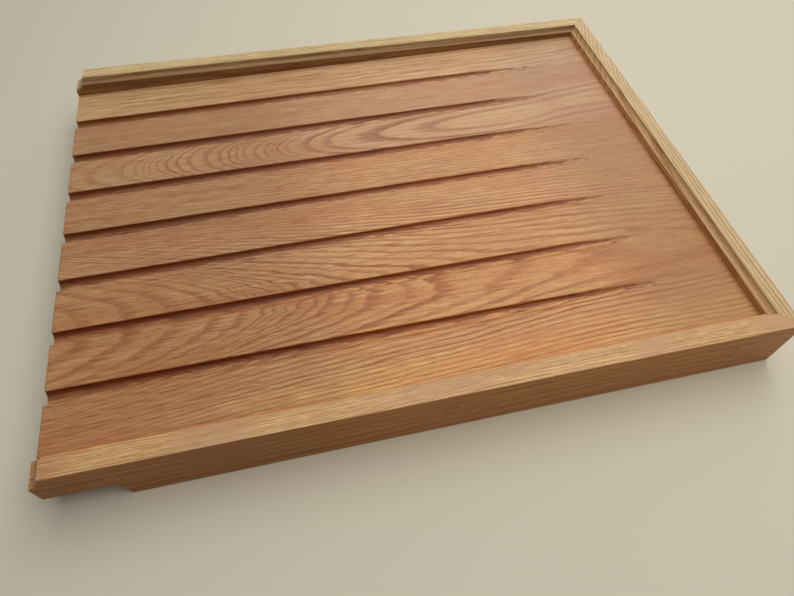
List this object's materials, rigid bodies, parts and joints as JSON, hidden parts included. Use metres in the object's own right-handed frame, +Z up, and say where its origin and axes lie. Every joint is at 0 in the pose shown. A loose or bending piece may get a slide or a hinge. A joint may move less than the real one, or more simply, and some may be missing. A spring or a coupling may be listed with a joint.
{
  "type": "draining board",
  "caption": "Wooden kitchen draining board: a sloping panel with drainage grooves, framed on three sides by coved, mitred rails, notched to sit on a sink rim.",
  "frame": {"origin": "on the worktop, under the centre of the board", "axes": "+X along the grooves from the open end over the sink to the closed end, +Y to the back, +Z up"},
  "size_m": [0.6, 0.463, 0.058],
  "materials": {
    "board_front": "oiled, satin",
    "board_middle": "oiled, satin",
    "board_back": "oiled, satin",
    "rail_front": "oiled, satin",
    "rail_back": "oiled, satin",
    "rail_right": "oiled, satin",
    "plug_wood": "oiled, satin",
    "screw_steel": "plain"
  },
  "bodies": {
    "root": {"back_plug_left": "plug_wood", "back_plug_middle": "plug_wood", "back_plug_right": "plug_wood", "back_rail": "rail_back", "back_screws": "screw_steel", "front_plug_left": "plug_wood", "front_plug_middle": "plug_wood", "front_plug_right": "plug_wood", "front_rail": "rail_front", "front_screws": "screw_steel", "panel_back_board": "board_back", "panel_front_board": "board_front", "panel_middle_board": "board_middle", "right_plug_back": "plug_wood", "right_plug_front": "plug_wood", "right_plug_middle": "plug_wood", "right_rail": "rail_right", "right_screws": "screw_steel"}
  },
  "joints": []
}
